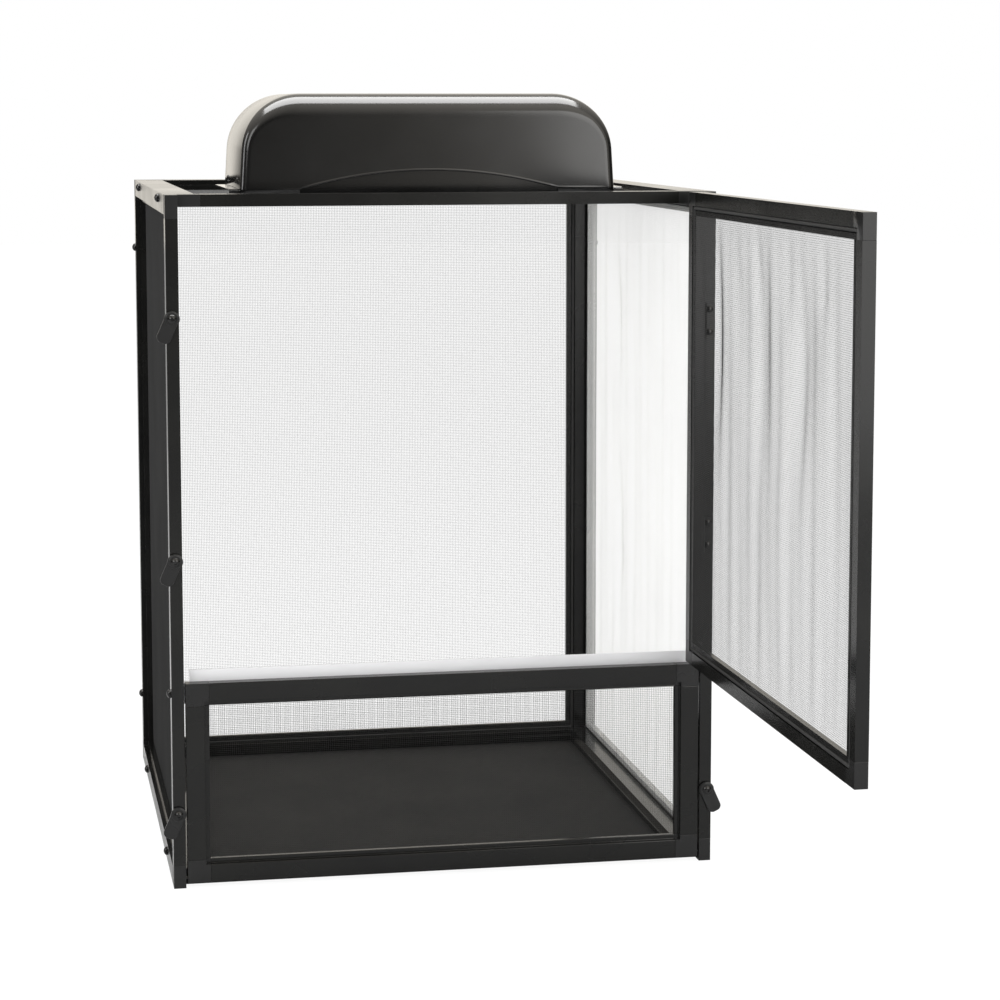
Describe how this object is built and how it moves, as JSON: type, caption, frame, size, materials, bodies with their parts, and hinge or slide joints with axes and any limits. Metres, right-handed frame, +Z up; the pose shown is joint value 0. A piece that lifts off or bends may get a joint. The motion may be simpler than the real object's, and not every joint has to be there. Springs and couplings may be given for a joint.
{
  "type": "reptile terrarium",
  "caption": "Tall screen terrarium in black rails with an upper side-hung door, a lower drop-down door, turn latches and a lamp hood on the top screen.",
  "frame": {"origin": "on the ground, under the middle of the cage's floor board", "axes": "+X to the right seen from the front, +Y to the back, +Z up"},
  "size_m": [0.4206, 0.796, 0.5805],
  "materials": {
    "black_plastic": "satin black anodised or powder-coated rail",
    "cord_rubber": "matte",
    "screen": "fine woven wire, dark grey",
    "floor_board": "matte black PVC",
    "steel": "zinc plated",
    "black_steel": "semi-gloss black",
    "bright_bar": "bright, satin",
    "latch_plastic": "semi-gloss black",
    "washer_plastic": "pale nylon",
    "hood_plastic": "satin black",
    "hood_gloss": "gloss black",
    "reflector": "polished",
    "holder_ceramic": "glazed ceramic",
    "bulb_glass": "frosted glass",
    "foot_strip": "bright",
    "pad_rubber": "matte"
  },
  "bodies": {
    "cage": {"left_panel_rails": "black_plastic", "left_panel_corners": "black_plastic", "left_panel_cord": "cord_rubber", "left_panel_screen": "screen", "right_panel_rails": "black_plastic", "right_panel_corners": "black_plastic", "right_panel_cord": "cord_rubber", "right_panel_screen": "screen", "back_panel_rails": "black_plastic", "back_panel_corners": "black_plastic", "back_panel_cord": "cord_rubber", "back_panel_screen": "screen", "top_panel_rails": "black_plastic", "top_panel_corners": "black_plastic", "top_panel_cord": "cord_rubber", "top_panel_screen": "screen", "floor_rails": "black_plastic", "floor_corners": "black_plastic", "floor_board": "floor_board", "floor_screws": "steel", "stop_bar": "bright_bar", "assembly_screws": "black_steel", "hinge_post_leaves": "black_steel", "hinge_pins": "steel", "hinge_post_screws": "black_steel", "latch_screws": "black_steel", "latch_washers": "washer_plastic", "hood_body": "hood_plastic", "hood_front_plate": "hood_gloss", "hood_reflector": "reflector", "hood_lamp_brackets": "steel", "hood_lamp_holders": "holder_ceramic", "hood_bulbs": "bulb_glass", "hood_bulb_caps": "steel", "hood_foot_strips": "foot_strip", "hood_foot_pads": "pad_rubber", "hood_screws": "steel", "hood_rivets": "steel", "hood_gland": "cord_rubber"},
    "upper_door": {"upper_door_rails": "black_plastic", "upper_door_corners": "black_plastic", "upper_door_cord": "cord_rubber", "upper_door_screen": "screen", "hinge_door_leaves": "black_steel", "hinge_door_screws": "black_steel"},
    "lower_door": {"lower_door_rails": "black_plastic", "lower_door_corners": "black_plastic", "lower_door_cord": "cord_rubber", "lower_door_screen": "screen", "lower_door_pins": "steel"},
    "latch_a": {"latch_upper_left": "latch_plastic"},
    "latch_b": {"latch_middle_left": "latch_plastic"},
    "latch_c": {"latch_lower_left": "latch_plastic"},
    "latch_d": {"latch_lower_right": "latch_plastic"}
  },
  "joints": [
    {"name": "upper_door_hinge", "type": "hinge", "parent": "cage", "child": "upper_door", "pos_m": [0.19355, -0.2062, 0.332], "axis": [0, 0, 1], "range_deg": [-90.6, 89.4]},
    {"name": "lower_door_hinge", "type": "hinge", "parent": "cage", "child": "lower_door", "pos_m": [0, -0.1997, 0.007], "axis": [1, 0, 0], "range_deg": [0, 90]},
    {"name": "latch_upper_left_turn", "type": "hinge", "parent": "cage", "child": "latch_a", "pos_m": [-0.1993, -0.20385, 0.4194], "axis": [0, 1, 0], "range_deg": [-114, 66]},
    {"name": "latch_middle_left_turn", "type": "hinge", "parent": "cage", "child": "latch_b", "pos_m": [-0.1993, -0.20385, 0.2432], "axis": [0, 1, 0], "range_deg": [-114, 66]},
    {"name": "latch_lower_left_turn", "type": "hinge", "parent": "cage", "child": "latch_c", "pos_m": [-0.1993, -0.20385, 0.0558], "axis": [0, 1, 0], "range_deg": [-114, 66]},
    {"name": "latch_lower_right_turn", "type": "hinge", "parent": "cage", "child": "latch_d", "pos_m": [0.1993, -0.20385, 0.0558], "axis": [0, -1, 0], "range_deg": [-114, 66]}
  ]
}
